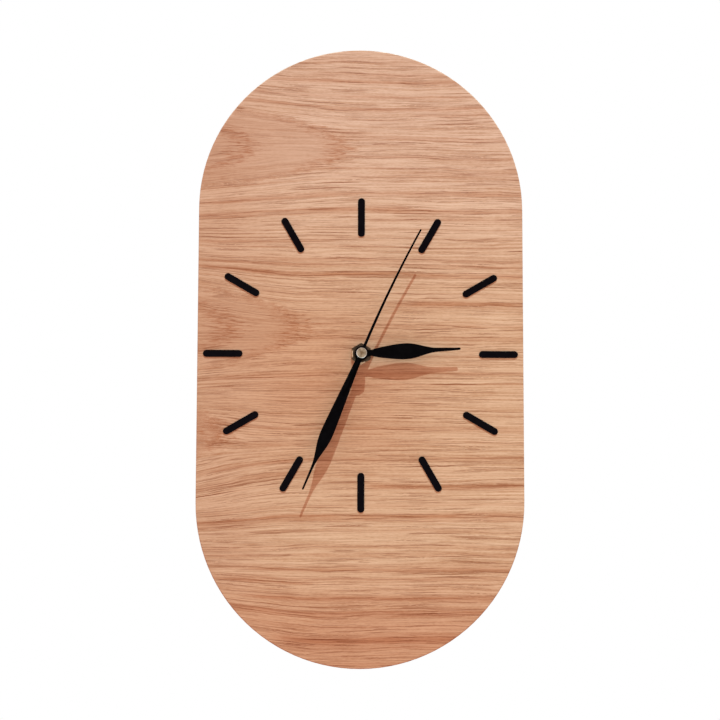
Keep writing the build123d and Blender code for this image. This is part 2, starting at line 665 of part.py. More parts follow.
def middle_plate():
    side = ROOM_HALF - PLATE_CLEAR
    low = ROOM_BOTTOM + PLATE_CLEAR
    high = ROOM_TOP - PLATE_CLEAR
    plate = block(-side, side, low, high, PLATE_BOTTOM, PLATE_TOP)
    gap = COIL_WINDOW_CLEAR
    left, right = COIL_LEFT - gap, COIL_LEFT + COIL_LENGTH + gap
    reach = BOBBIN_FLANGE + gap
    plate -= block(left, right, COIL_Y - reach, COIL_Y + reach, PLATE_BOTTOM, PLATE_TOP)
    plate -= disc(SECOND_ARBOR + RUN_CLEAR, PLATE_BOTTOM, PLATE_TOP)
    plate -= disc(THIRD_PINION.tip + PLATE_CLEAR, PLATE_BOTTOM, PLATE_TOP, THIRD_AXIS)
    plate -= disc(SET_PINION.tip + PLATE_CLEAR, PLATE_BOTTOM, PLATE_TOP, SET_AXIS)
    pivot_end = PLATE_BOTTOM + PIVOT_DEPTH + PIVOT_END_PLAY
    for axis in (FIFTH_AXIS, ROTOR_AXIS):
        plate -= disc(PIVOT_HOLE, PLATE_BOTTOM, pivot_end, axis)
    for place in stator_posts():
        plate += disc(POST_RADIUS, stator_front(), PLATE_BOTTOM, place)
    return plate


# Wheels

def hour_wheel():
    wheel = toothed(HOUR_WHEEL, HOUR_BOTTOM, HOUR_TOP)
    wheel += disc(HOUR_PIPE, HOUR_BOTTOM, HOUR_HAND_FRONT)
    return wheel - disc(HOUR_BORE, HOUR_BOTTOM, HOUR_HAND_FRONT)


def cannon_pinion():
    pipe = disc(MINUTE_PIPE, CENTRE_BOTTOM, MINUTE_HAND_FRONT)
    pipe += pinion_on(CANNON, MOTION_BOTTOM, MOTION_TOP)
    return pipe - disc(MINUTE_BORE, CENTRE_BOTTOM, MINUTE_HAND_FRONT)


def centre_wheel():
    wheel = toothed(CENTRE_WHEEL, CENTRE_BOTTOM, CENTRE_TOP)
    return wheel - disc(MINUTE_PIPE, CENTRE_BOTTOM, CENTRE_TOP)


def minute_wheel():
    wheel = toothed(MOTION_WHEEL, MOTION_BOTTOM, MOTION_TOP)
    wheel += toothed(MOTION_PINION, MOTION_TOP, HOUR_TOP + PINION_OVERHANG)
    bore = ARBOR + 2 * RUN_CLEAR
    return wheel - disc(bore, MOTION_BOTTOM, HOUR_TOP + PINION_OVERHANG, MOTION_AXIS)


def third_wheel():
    wheel = toothed(THIRD_WHEEL, THIRD_BOTTOM, THIRD_TOP)
    wheel += pinion_on(THIRD_PINION, CENTRE_BOTTOM, CENTRE_TOP)
    return wheel + disc(ARBOR, ARBOR_BACK, CASE_FLOOR + PIVOT_DEPTH, THIRD_AXIS)


def second_wheel():
    wheel = toothed(SECOND_WHEEL, SECOND_BOTTOM, SECOND_TOP)
    wheel += toothed(SECOND_PINION, SECOND_TOP, THIRD_TOP + PINION_OVERHANG)
    return wheel - disc(SECOND_ARBOR, SECOND_BOTTOM, THIRD_TOP + PINION_OVERHANG)


def second_arbor():
    return disc(SECOND_ARBOR, ARBOR_BACK, SECOND_HAND_FRONT)


def fifth_wheel():
    wheel = toothed(FIFTH_WHEEL, FIFTH_BOTTOM, FIFTH_TOP)
    wheel += toothed(FIFTH_PINION, FIFTH_TOP, SECOND_TOP + PINION_OVERHANG)
    return wheel + disc(ARBOR, ARBOR_BACK, PLATE_BOTTOM + PIVOT_DEPTH, FIFTH_AXIS)


def rotor():
    body = pinion_on(ROTOR_PINION, FIFTH_BOTTOM, FIFTH_TOP)
    return body + disc(ARBOR, ARBOR_BACK, PLATE_BOTTOM + PIVOT_DEPTH, ROTOR_AXIS)


def rotor_magnet():
    low = FIFTH_TOP + LAYER_GAP
    return ring(MAGNET_RADIUS, ARBOR, low, low + MAGNET_THICK, ROTOR_AXIS)


def set_knob():
    back = CASE_BACK + KNOB_SUNK
    knob = disc(KNOB_RADIUS, back, back + KNOB_THICK, SET_AXIS)
    for index in range(KNOB_GRIPS):
        place = polar(SET_AXIS, KNOB_RADIUS, 360 / KNOB_GRIPS * index)
        knob -= disc(KNOB_GRIP_RADIUS, back, back + KNOB_THICK, place)
    knob += disc(SET_SHAFT, back, MOTION_BOTTOM, SET_AXIS)
    knob += pinion_on(SET_PINION, MOTION_BOTTOM, MOTION_TOP)
    return knob + disc(ARBOR, MOTION_TOP, CASE_FLOOR + PIVOT_DEPTH, SET_AXIS)


# Stepping motor

def stator_back():
    """The stator lies level with the middle of the magnet."""
    return FIFTH_TOP + LAYER_GAP + (MAGNET_THICK - STATOR_THICK) / 2


def stator_front():
    return stator_back() + STATOR_THICK


def core_middle():
    return stator_front() + CORE_THICK / 2


def coil_ends():
    return COIL_LEFT, COIL_LEFT + COIL_LENGTH


def arm_places():
    """Middles of the stator's two arms where the core lies on them."""
    left, right = coil_ends()
    return left - CORE_LAP / 2 - COIL_WINDOW_CLEAR, right + CORE_LAP / 2 + COIL_WINDOW_CLEAR


def stator_posts():
    left, right = arm_places()
    return [(left, STATOR_POST_Y), (right, STATOR_POST_Y)]


def stator():
    back, front = stator_back(), stator_front()
    hole = MAGNET_RADIUS + STATOR_GAP
    left, right = arm_places()
    half = STATOR_ARM / 2
    top = COIL_Y + CORE_WIDTH / 2
    plate = disc(hole + STATOR_RIM, back, front, ROTOR_AXIS)
    plate += block(right - half, right + half, ROTOR_AXIS[1], top, back, front)
    plate += block(left - half, left + half, YOKE_LOW, top, back, front)
    plate += block(left - half, right + half, YOKE_LOW, YOKE_LOW + half, back, front)
    plate -= disc(FIFTH_PINION.tip + STATOR_GAP, back, front, FIFTH_AXIS)
    return plate - disc(hole, back, front, ROTOR_AXIS)


def coil_core():
    left, right = arm_places()
    half = CORE_LAP / 2
    y = CORE_WIDTH / 2
    front = stator_front() + CORE_THICK
    return block(left - half, right + half, COIL_Y - y, COIL_Y + y, stator_front(), front)


def coil_section(half_y, half_z):
    """A block along the coil's axis with the given half sizes."""
    left, right = coil_ends()
    z = core_middle()
    return block(left, right, COIL_Y - half_y, COIL_Y + half_y, z - half_z, z + half_z)


def along_coil(radius, left, right):
    length = right - left
    middle = Pos((left + right) / 2, COIL_Y, core_middle())
    return middle * Rot(0, 90, 0) * Cylinder(radius, length)


def bobbin_radius():
    return math.hypot(CORE_WIDTH, CORE_THICK) / 2 + BOBBIN_WALL


def coil_bobbin():
    left, right = coil_ends()
    body = along_coil(bobbin_radius(), left, right)
    body += along_coil(BOBBIN_FLANGE, left, left + BOBBIN_FLANGE_THICK)
    body += along_coil(BOBBIN_FLANGE, right - BOBBIN_FLANGE_THICK, right)
    return body - coil_section(CORE_WIDTH / 2, CORE_THICK / 2)


def coil_winding():
    left, right = coil_ends()
    inner_left = left + BOBBIN_FLANGE_THICK
    inner_right = right - BOBBIN_FLANGE_THICK
    return along_coil(COIL_RADIUS, inner_left, inner_right) - along_coil(bobbin_radius(), left, right)


# Circuit board

def pcb_posts():
    x = PCB_LEFT + PCB_POST_INSET
    low = PCB_LOW + PCB_POST_INSET + CONTACT_STRIP
    return [(x, low), (x, PCB_LOW + PCB_HEIGHT - PCB_POST_INSET)]


def circuit_board():
    return block(PCB_LEFT, PCB_RIGHT, PCB_LOW, PCB_LOW + PCB_HEIGHT, PCB_BACK, PCB_FRONT)


def quartz_crystal():
    place = Pos(PCB_LEFT + CRYSTAL_INSET, PCB_LOW + CRYSTAL_RISE, PCB_FRONT + CRYSTAL_RADIUS)
    return place * Rot(90, 0, 0) * Cylinder(CRYSTAL_RADIUS, CRYSTAL_LENGTH)


def chip_cap():
    """A low dome of potting resin over the chip."""
    ball = (CHIP_RADIUS ** 2 + CHIP_HEIGHT ** 2) / (2 * CHIP_HEIGHT)
    x = (PCB_LEFT + PCB_RIGHT) / 2
    y = PCB_LOW + CHIP_RISE
    dome = Pos(x, y, PCB_FRONT + CHIP_HEIGHT - ball) * Sphere(ball)
    return dome & disc(CHIP_RADIUS, PCB_FRONT, PCB_FRONT + CHIP_HEIGHT, (x, y))


# Battery

def battery():
    middle = Pos(BATTERY_LEFT, BATTERY_Y, BATTERY_Z) * Rot(0, 90, 0)
    low = (Align.CENTER, Align.CENTER, Align.MIN)
    can = Cylinder(BATTERY_RADIUS, BATTERY_LENGTH, align=low)
    can = fillet(can.edges().filter_by(GeomType.CIRCLE), BATTERY_EDGE)
    nub = Pos(0, 0, BATTERY_LENGTH) * Cylinder(BATTERY_NUB_RADIUS, BATTERY_NUB, align=low)
    return middle * (can + nub)


def contact_slots():
    """The openings in the bay's wall where the two contact strips pass."""
    wide = CONTACT_THICK + CONTACT_SLOT_CLEAR
    return [(-ROOM_HALF, -ROOM_HALF + wide), (ROOM_HALF - wide, ROOM_HALF)]


def contact_plate(inner, outer):
    """The contact's upright at the end of the bay and its leg into the gear room."""
    low = BATTERY_Y - CONTACT_WIDTH / 2
    high = BATTERY_Y + CONTACT_WIDTH / 2
    top = PCB_FRONT + CONTACT_STRIP
    deep = BATTERY_Z + CONTACT_WIDTH / 2
    left, right = min(inner, outer), max(inner, outer)
    plate = block(left, right, low, high, PCB_FRONT, deep)
    leg = block(left, right, high, ROOM_BOTTOM + CONTACT_GAP + CONTACT_THICK, PCB_FRONT, top)
    return plate + leg


def contact_strip(left, right):
    low = ROOM_BOTTOM + CONTACT_GAP
    top = PCB_FRONT + CONTACT_STRIP
    return block(left, right, low, low + CONTACT_THICK, PCB_FRONT, top)


def positive_contact():
    inner = ROOM_HALF - CONTACT_THICK
    contact = contact_plate(inner, ROOM_HALF)
    contact += contact_strip((PCB_LEFT + PCB_RIGHT) / 2, ROOM_HALF)
    nub_end = BATTERY_LEFT + CELL_LENGTH
    reach = inner - nub_end - CONTACT_GAP
    place = Pos(inner - reach / 2, BATTERY_Y, BATTERY_Z)
    return contact + place * Rot(0, 90, 0) * Cylinder(DIMPLE_RADIUS, reach)


def negative_contact():
    inner = -ROOM_HALF + CONTACT_THICK
    contact = contact_plate(inner, -ROOM_HALF)
    contact += contact_strip(-ROOM_HALF, PCB_LEFT + PCB_POST_INSET)
    crown = BATTERY_LEFT - CONTACT_GAP
    low = BATTERY_Y - CONTACT_WIDTH / 2
    high = BATTERY_Y + CONTACT_WIDTH / 2
    outer = ThreePointArc((inner, low), (crown, BATTERY_Y), (inner, high))
    thin = crown - CONTACT_THICK
    inside_low = (inner, low + CONTACT_THICK)
    inside_high = (inner, high - CONTACT_THICK)
    hollow = ThreePointArc(inside_high, (thin, BATTERY_Y), inside_low)
    ends = [Line((inner, high), inside_high), Line(inside_low, (inner, low))]
    bow = make_face(Curve() + [outer, hollow] + ends)
    half = CONTACT_STRIP / 2
    return contact + slab(bow, BATTERY_Z - half, BATTERY_Z + half)


# All the pieces by name

def pieces():
    named = {"oak_board": oak_board()}
    for index in range(1, MARKER_COUNT + 1):
        named[f"hour_marker_{index:02d}"] = hour_marker(index)
    makers = [
        keyhole_hanger, hanger_screws, hour_hand, minute_hand, second_hand, second_hand_boss,
        threaded_bush, hex_nut, rubber_washer, movement_case, movement_cover, middle_plate,
        hour_wheel, cannon_pinion, centre_wheel, minute_wheel, third_wheel, second_wheel,
        second_arbor, fifth_wheel, rotor, rotor_magnet, set_knob, stator, coil_core,
        coil_bobbin, coil_winding, circuit_board, quartz_crystal, chip_cap, battery,
        positive_contact, negative_contact,
    ]
    for maker in makers:
        named[maker.__name__] = maker()
    return named


def main():
    os.makedirs("parts", exist_ok=True)
    stand = Rot(90, 0, 0)
    for name, solid in pieces().items():
        export_step(stand * solid, f"parts/{name}.step")


if __name__ == "__main__":
    main()
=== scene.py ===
import math

import bmesh
import bpy
from mathutils import Matrix, Vector


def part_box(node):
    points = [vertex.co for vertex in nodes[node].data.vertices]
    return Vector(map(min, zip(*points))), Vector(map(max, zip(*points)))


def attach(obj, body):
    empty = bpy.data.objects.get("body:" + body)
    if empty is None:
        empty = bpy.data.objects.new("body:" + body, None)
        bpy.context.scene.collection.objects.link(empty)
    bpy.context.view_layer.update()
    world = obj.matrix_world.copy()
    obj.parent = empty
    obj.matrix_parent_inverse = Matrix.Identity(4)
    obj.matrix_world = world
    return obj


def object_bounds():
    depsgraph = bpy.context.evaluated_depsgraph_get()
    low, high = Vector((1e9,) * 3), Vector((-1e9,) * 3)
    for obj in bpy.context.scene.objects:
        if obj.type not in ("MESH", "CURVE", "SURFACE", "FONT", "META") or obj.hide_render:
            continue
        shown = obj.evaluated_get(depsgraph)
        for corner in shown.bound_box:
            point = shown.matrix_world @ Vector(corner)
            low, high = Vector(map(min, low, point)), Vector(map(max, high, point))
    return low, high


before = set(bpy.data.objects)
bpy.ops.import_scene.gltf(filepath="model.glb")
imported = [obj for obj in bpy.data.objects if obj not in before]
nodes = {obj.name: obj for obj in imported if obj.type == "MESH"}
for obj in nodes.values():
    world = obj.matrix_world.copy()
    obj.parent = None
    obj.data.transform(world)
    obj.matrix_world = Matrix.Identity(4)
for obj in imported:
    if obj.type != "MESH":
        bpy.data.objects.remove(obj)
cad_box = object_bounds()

MM = 0.001

# The photograph's frame: pixels from the top left, the board's centre in it
# and how many millimetres of the board's face one pixel covers
PIXEL_MM = 0.6145
CENTRE_PX = (360.5, 354.8)


def across(px):
    """Millimetres to the right of the board's centre, from a column of the photograph."""
    return (px - CENTRE_PX[0]) * PIXEL_MM


def upward(py):
    """Millimetres above the board's centre, from a row of the photograph."""
    return (CENTRE_PX[1] - py) * PIXEL_MM


def srgb(red, green, blue):
    """A colour given as 0 to 255 in sRGB, as linear RGBA."""

    def linear(value):
        share = value / 255
        if share <= 0.04045:
            return share / 12.92
        return ((share + 0.055) / 1.055) ** 2.4

    return (linear(red), linear(green), linear(blue), 1.0)


# Shader graphs

class Graph:
    """Adds nodes to one node tree and hands back the sockets they give."""

    def __init__(self, tree):
        self.tree = tree
        self.tree.nodes.clear()

    def add(self, kind, inputs=None, **settings):
        node = self.tree.nodes.new(kind)
        for name, value in settings.items():
            setattr(node, name, value)
        for name, value in (inputs or {}).items():
            self.feed(node.inputs[name], value)
        return node

    def feed(self, socket, value):
        if isinstance(value, bpy.types.NodeSocket):
            self.tree.links.new(value, socket)
        else:
            socket.default_value = value

    def math(self, operation, first, second=0.0, third=0.0):
        inputs = {0: first}
        if operation not in ("ABSOLUTE", "EXPONENT", "SQRT"):
            inputs[1] = second
        if operation == "MULTIPLY_ADD":
            inputs[2] = third
        return self.add("ShaderNodeMath", inputs, operation=operation).outputs[0]

    def total(self, *values):
        result = values[0]
        for value in values[1:]:
            result = self.math("ADD", result, value)
        return result

    def times(self, first, second):
        return self.math("MULTIPLY", first, second)

    def blend(self, first, second, share):
        """first and second added up, with share of the first."""
        return self.total(self.times(first, share), self.times(second, 1 - share))

    def off(self, value, middle, reach):
        """How far value lies from the middle, in reaches."""
        return self.times(self.math("SUBTRACT", value, middle), 1 / reach)

    def bell(self, square):
        """A bell curve over a distance that is given squared."""
        return self.math("EXPONENT", self.times(square, -0.5))

    def most(self, *values):
        result = values[0]
        for value in values[1:]:
            result = self.math("MAXIMUM", result, value)
        return result

    def fit(self, value, low, high, to_low=0.0, to_high=1.0, smooth=True):
        """value from low to high, as to_low to to_high, held beyond the ends."""
        kind = "SMOOTHSTEP" if smooth else "LINEAR"
        inputs = {
            "Value": value, "From Min": low, "From Max": high, "To Min": to_low, "To Max": to_high,
        }
        return self.add("ShaderNodeMapRange", inputs, interpolation_type=kind).outputs["Result"]

    def mix(self, share, first, second, blend="MIX"):
        node = self.add("ShaderNodeMix", data_type="RGBA", blend_type=blend)
        self.feed(node.inputs[0], share)
        self.feed(node.inputs[6], first)
        self.feed(node.inputs[7], second)
        return node.outputs[2]

    def place_mm(self):
        """The point on the piece, in millimetres of the CAD frame."""
        point = self.add("ShaderNodeTexCoord").outputs["Object"]
        inputs = {0: point, "Scale": 1 / MM}
        return self.add("ShaderNodeVectorMath", inputs, operation="SCALE").outputs[0]

    def split(self, vector):
        return self.add("ShaderNodeSeparateXYZ", {0: vector}).outputs

    def join(self, x, y, z):
        return self.add("ShaderNodeCombineXYZ", {0: x, 1: y, 2: z}).outputs[0]

    def grain(self, vector, cell, shift=(0.0, 0.0, 0.0)):
        """vector in cells of the given size in millimetres along each axis."""
        scale = tuple(1 / size for size in cell)
        inputs = {"Vector": vector, "Location": shift, "Scale": scale}
        return self.add("ShaderNodeMapping", inputs).outputs[0]

    def noise(self, vector, scale=1.0, detail=2.0, rough=0.5):
        inputs = {"Vector": vector, "Scale": scale, "Detail": detail, "Roughness": rough}
        return self.add("ShaderNodeTexNoise", inputs).outputs[0]

    def bands(self, value, scale=1.0, detail=2.0, rough=0.5):
        """Noise along one number only."""
        inputs = {"W": value, "Scale": scale, "Detail": detail, "Roughness": rough}
        return self.add("ShaderNodeTexNoise", inputs, noise_dimensions="1D").outputs[0]

    def cells(self, vector):
        """Cells round scattered points: the distance to a point and the cell's own colour."""
        return self.add("ShaderNodeTexVoronoi", {"Vector": vector, "Scale": 1.0}).outputs

    def bump(self, height, depth_mm, strength=1.0):
        inputs = {"Height": height, "Distance": depth_mm * MM, "Strength": strength}
        return self.add("ShaderNodeBump", inputs).outputs[0]

    def surface(self, **sockets):
        """A Principled surface: socket names with _ for spaces."""
        shader = self.add("ShaderNodeBsdfPrincipled")
        for name, value in sockets.items():
            self.feed(shader.inputs[name.replace("_", " ")], value)
        output = self.add("ShaderNodeOutputMaterial")
        self.tree.links.new(shader.outputs[0], output.inputs["Surface"])
        return shader


def new_material(name):
    material = bpy.data.materials.new(name)
    material.use_nodes = True
    return material, Graph(material.node_tree)


# Oak: rows about which the grain bends as it nears the left side, as (row, reach,
# lift, column where the bend starts, column where it is full), in pixels
BENDS = [
    (146.7, 35.9, 25.9, 367, 60), (337.7, 40.3, 35.9, 318, 60),
    (448.4, 35.9, 22.5, 314, 137), (662.0, 45.0, 14.0, 330, 180),
]
# Waves of the grain everywhere, as (cell, detail, lift): a cell is the noise's size
# in millimetres along x, y and z, and the lift is in millimetres either way
GRAIN_WAVES = [
    ((130, 60, 44), 1.0, 2.5),
    ((48, 24, 12), 2.0, 1.3),
    ((7.0, 5.0, 2.0), 2.0, 0.30),
]
# Smooth tongues of flat-sawn wood at the left, as the column of the tip, the row of the
# axis, half height and length, and how far behind the tip a second edge lies, in pixels
TONGUES = [(343, 146, 34, 85, 95), (300, 329, 33, 62, 68), (224, 434, 24, 34, 30)]
# How the tongues' edges are torn, and where ahead of the tip the smooth wood and the
# red edge begin and end, in millimetres; the sides are in half heights squared
TEAR_CELL = (10, 1.0, 0.6)
TEAR_REACH = 34.0
TONGUE_FADE = (3.0, -9.0)
TONGUE_SIDE = (1.5, 0.7)
EDGE_BACK = (-15.0, -1.0)
EDGE_FRONT = (7.0, 1.0)
# What is left of late wood, pores and contrast as the wood gets smooth, each as a range
# of smoothness and the shares left at its two ends
SMOOTH_LATE = (0.0, 1.0, 1.0, 0.2)
SMOOTH_PORES = (0.0, 0.8, 1.0, 0.45)
SMOOTH_CONTRAST = (0.0, 1.0, 1.0, 0.65)

# Late-wood bands, as (row, half height, strength, first column, last column), in pixels
LATE_BANDS = [
    (72, 4, 0.40, 300, 470), (112, 3, 0.40, 415, 530), (131, 5, 0.50, 255, 370),
    (166, 5, 0.55, 190, 330), (172, 4, 0.40, 400, 530), (208, 4, 0.80, 190, 410),
    (211, 4, 0.70, 410, 530), (219, 3, 0.45, 360, 530), (242, 4, 0.55, 190, 330),
    (262, 4, 0.50, 250, 530), (276, 5, 0.90, 190, 530), (305, 6, 0.80, 400, 530),
    (317, 5, 0.50, 190, 310), (328, 3, 0.35, 360, 470), (356, 3, 0.35, 400, 480),
    (430, 4, 0.50, 400, 530), (445, 4, 0.45, 250, 415), (472, 5, 0.55, 190, 320),
    (487, 5, 0.80, 360, 530), (516, 5, 0.90, 190, 530), (523, 4, 0.60, 190, 250),
    (531, 3, 0.40, 250, 530), (554, 4, 0.45, 190, 530), (568, 4, 0.75, 250, 530),
    (580, 4, 0.75, 190, 310), (596, 5, 0.85, 250, 530), (610, 5, 0.75, 190, 520),
    (637, 8, 0.90, 280, 470),
]
# How far the ends of a band fade either way, in millimetres
BAND_FADE = 12.0
# Late wood between the bands: rings that lean through the board, and the patches and
# strokes that break the bands and the tongues' edges up
RING_LEAN = 0.4
RING_SCALE = 0.17
RING_RANGE = (0.48, 0.72, 0.0, 0.62)
PATCH_CELL = (40, 6, 1.6)
PATCH_RANGE = (0.36, 0.58, 0.50, 1.0)
STROKE_CELL = (6, 0.9, 0.55)
STROKE_RANGE = (0.36, 0.56, 0.20, 0.95)

# Fibres and tones, as (cell, detail, share in how light the wood is)
LONG_FIBRE = ((150, 1.0, 0.56), 1.0, 0.38)
SHORT_FIBRE = ((30, 0.8, 0.54), 1.5, 0.28)
FLECK = ((2.4, 0.6, 0.46), 1.0, 0.17)
STREAK = ((70, 4.0, 2.4), 2.0, 0.08)
TONE = ((90, 40, 16), 2.0, 0.10)
DARK_RANGE = (0.50, 0.35)
PALE_RANGE = (0.48, 0.64)

# Pores: dashes and cracks, as (cell, half height of the core and of the edge in cells,
# share kept, shift), and veins, as (cell, half height, cell of the gaps, range of the
# gaps, shift). SURE_SHARE of the dashes kept are full, and the rest fade out; VEIN_STEP
# is how far up a vein's noise is looked at again to find how steep it is there
DASHES = ((38, 0.70, 0.58), 0.25, 0.36, 0.46, (0.0, 0.0, 0.0))
DASH_GAPS = (0.36, 0.48)
CRACKS = ((66, 1.2, 1.2), 0.21, 0.28, 0.50, (3.1, 1.7, 0.4))
LONG_VEINS = ((170, 6.0, 3.0), 0.33, (34, 2.0, 2.0), (0.45, 0.55), (5.3, 0.8, 2.9))
SHORT_VEINS = ((70, 4.0, 1.8), 0.30, (16, 1.2, 1.1), (0.46, 0.56), (1.3, 4.6, 7.2))
LONG_VEIN_STRENGTH = 0.8
SHORT_VEIN_STRENGTH = 0.6
VEIN_STEP = 0.2
VEIN_RISE = (0.006, 0.016)
VEIN_CORE = 0.4
SURE_SHARE = 0.6
CROWD_CELL = (60, 12, 2.6)
CROWD_LATE = 0.15
CROWD_RANGE = (0.38, 0.62, 0.35, 1.0)

# Colours of the wood and where they pass into each other, in millimetres
OAK_HIGH = srgb(223, 178, 149)
OAK_MID = srgb(219, 172, 136)
OAK_LEFT = srgb(204, 151, 119)
OAK_LOW = srgb(207, 148, 112)
HIGH_RANGE = (0.0, 150.0)
LEFT_RANGE = (-25.0, -95.0, 0.0, 0.6)
LOW_RANGE = (-115.0, -175.0)
# A broad patch where the colour turns darker and redder, centred to the left of and
# below the hub, as its column and row and how far it reaches across and upward, in pixels
RED_PATCH = (328, 388, 62, 58)
# What the wood's own colour is multiplied by, in the red patch, tongues, fibres, late
# wood and pores
RED_TINT = (0.89, 0.745, 0.685, 1.0)
TONGUE_TINT = (0.93, 0.88, 0.86, 1.0)
DARK_TINT = (0.74, 0.58, 0.47, 1.0)
PALE_TINT = (1.17, 1.27, 1.36, 1.0)
LATE_TINT = (0.70, 0.47, 0.35, 1.0)
PORE_TINT = (0.42, 0.22, 0.13, 1.0)
LATE_STRENGTH = 0.95
PORE_STRENGTH = 0.9
# How much of pores, short and long fibres the relief takes, and how deep it is
OAK_RELIEF = (-1.0, 0.25, 0.2)
OAK_DEPTH_MM = 0.03
OAK_BUMP = 0.3
OAK_ROUGH = (0.3, 1.3, 0.58, 0.76)
OAK_SPECULAR = 0.15


def oak_level(graph, x, z, point):
    """The height of the grain line through a point before the bends moved it."""
    level = z
    for cell, detail, lift in GRAIN_WAVES:
        wave = graph.noise(graph.grain(point, cell), detail=detail)
        level = graph.total(level, graph.fit(wave, 0, 1, -lift, lift, False))
    for row, reach, lift, first, full in BENDS:
        off = graph.off(z, upward(row), reach * PIXEL_MM)
        swell = graph.math("EXPONENT", graph.math("MULTIPLY_ADD", graph.times(off, off), -0.5, 0.5))
        run = graph.fit(x, across(first), across(full), 0.0, lift * PIXEL_MM)
        level = graph.math("SUBTRACT", level, graph.times(graph.times(off, swell), run))
    return level


def oak_tongues(graph, x, z, point):
    """How smooth the wood is at a point, and how red the tongues' feathered edges."""
    smooth = 0.0
    arcs = 0.0
    feather = graph.noise(graph.grain(point, TEAR_CELL), detail=3.0, rough=0.6)
    ragged = graph.fit(feather, 0, 1, -TEAR_REACH, TEAR_REACH, False)
    for tip, row, half, length, inner in TONGUES:
        height = graph.off(z, upward(row), half * PIXEL_MM)
        square = graph.times(height, height)
        torn = graph.total(x, graph.times(square, length * PIXEL_MM), ragged, -across(tip))
        inside = graph.times(graph.fit(torn, *TONGUE_FADE), graph.fit(square, *TONGUE_SIDE))
        smooth = graph.most(smooth, inside)
        for behind in (0.0, inner * PIXEL_MM):
            back = graph.fit(torn, *(place - behind for place in EDGE_BACK))
            front = graph.fit(torn, *(place - behind for place in EDGE_FRONT))
            arcs = graph.most(arcs, graph.times(graph.times(back, front), graph.bell(square)))
    return smooth, arcs


def oak_red(graph, x, z):
    """How far a point lies in the redder patch."""
    column, row, wide, tall = RED_PATCH
    aside = graph.off(x, across(column), wide * PIXEL_MM)
    above = graph.off(z, upward(row), tall * PIXEL_MM)
    return graph.bell(graph.total(graph.times(aside, aside), graph.times(above, above)))


def oak_bands(graph, x, y, level):
    """Late wood: rings by chance and the bands seen, whichever is the stronger."""
    leaning = graph.total(level, graph.times(y, RING_LEAN))
    rings = graph.bands(leaning, scale=RING_SCALE, detail=3.0, rough=0.62)
    late = graph.fit(rings, *RING_RANGE)
    for row, half, strength, first, last in LATE_BANDS:
        away = graph.math("ABSOLUTE", graph.math("SUBTRACT", level, upward(row)))
        band = graph.fit(away, half * PIXEL_MM, 0.0, 0.0, strength)
        left = graph.fit(x, across(first) - BAND_FADE, across(first) + BAND_FADE)
        right = graph.fit(x, across(last) + BAND_FADE, across(last) - BAND_FADE)
        late = graph.most(late, graph.times(graph.times(band, left), right))
    return late


def streaks(graph, flow, cell, core, edge, kept, shift):
    """Thin dashes along the grain: one in each cell, of which a share is kept."""
    dash = graph.cells(graph.grain(flow, cell, shift))
    line = graph.fit(dash["Distance"], edge, core)
    chance = graph.split(dash["Color"])[0]
    return graph.times(line, graph.fit(chance, 1 - kept, 1 - SURE_SHARE * kept, 0.0, 1.0, False))


def veins(graph, flow, cell, half, gap_cell, gaps, shift):
    """Long thin lines along the grain, where a noise crosses its middle: of one half
    height, left out where the noise is too flat and broken where a second one is low."""
    wave = graph.noise(graph.grain(flow, cell, shift), detail=2.0)
    above = (shift[0], shift[1], shift[2] + VEIN_STEP / cell[2])
    raised = graph.noise(graph.grain(flow, cell, above), detail=2.0)
    rise = graph.math("ABSOLUTE", graph.math("SUBTRACT", raised, wave))
    off = graph.math("ABSOLUTE", graph.math("SUBTRACT", wave, 0.5))
    away = graph.times(graph.math("DIVIDE", off, rise), VEIN_STEP)
    line = graph.times(graph.fit(away, half, VEIN_CORE * half), graph.fit(rise, *VEIN_RISE))
    broken = graph.noise(graph.grain(flow, gap_cell, shift), detail=1.0)
    return graph.times(line, graph.fit(broken, *gaps))


